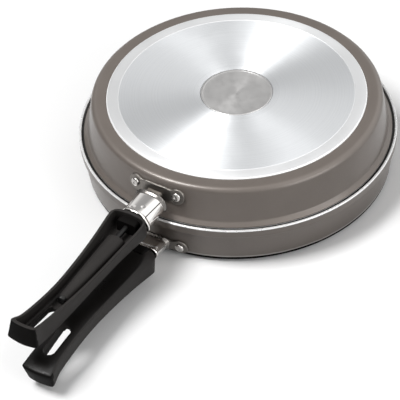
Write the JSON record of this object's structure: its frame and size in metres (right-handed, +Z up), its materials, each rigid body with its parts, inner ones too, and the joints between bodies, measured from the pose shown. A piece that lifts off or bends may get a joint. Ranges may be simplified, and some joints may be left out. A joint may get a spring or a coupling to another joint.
{
  "type": "double sided flip pan",
  "caption": "Round frying pan made of two shallow pans, one upside down in the other's rim, each with a riveted bracket, steel ferrule and hollow handle with a hang slot.",
  "frame": {"origin": "middle of the lower pan's base, on the surface it stands on", "axes": "+Z up through both pans, +X along the lower handle"},
  "size_m": [0.4034, 0.244, 0.0656],
  "materials": {
    "coating": "satin taupe coating",
    "spun_aluminium": "finely turned",
    "satin_aluminium": "satin",
    "steel": "polished",
    "moulding": "black, satin"
  },
  "bodies": {
    "lower_set": {"lower_pan": "coating", "lower_base_plate": "spun_aluminium", "lower_medallion": "satin_aluminium", "lower_bracket": "steel", "lower_rivet_left": "steel", "lower_rivet_right": "steel", "lower_ferrule": "steel", "lower_handle": "moulding", "lower_handle_screw": "steel", "lower_handle_nut": "steel"},
    "upper_set": {"upper_pan": "coating", "upper_base_plate": "spun_aluminium", "upper_medallion": "satin_aluminium", "upper_bracket": "steel", "upper_rivet_left": "steel", "upper_rivet_right": "steel", "upper_ferrule": "steel", "upper_handle": "moulding", "upper_handle_screw": "steel", "upper_handle_nut": "steel"}
  },
  "joints": [
    {"name": "upper_pan_lift", "type": "slide", "parent": "lower_set", "child": "upper_set", "axis": [0, 0, 1], "range_m": [0, 0.15]}
  ]
}
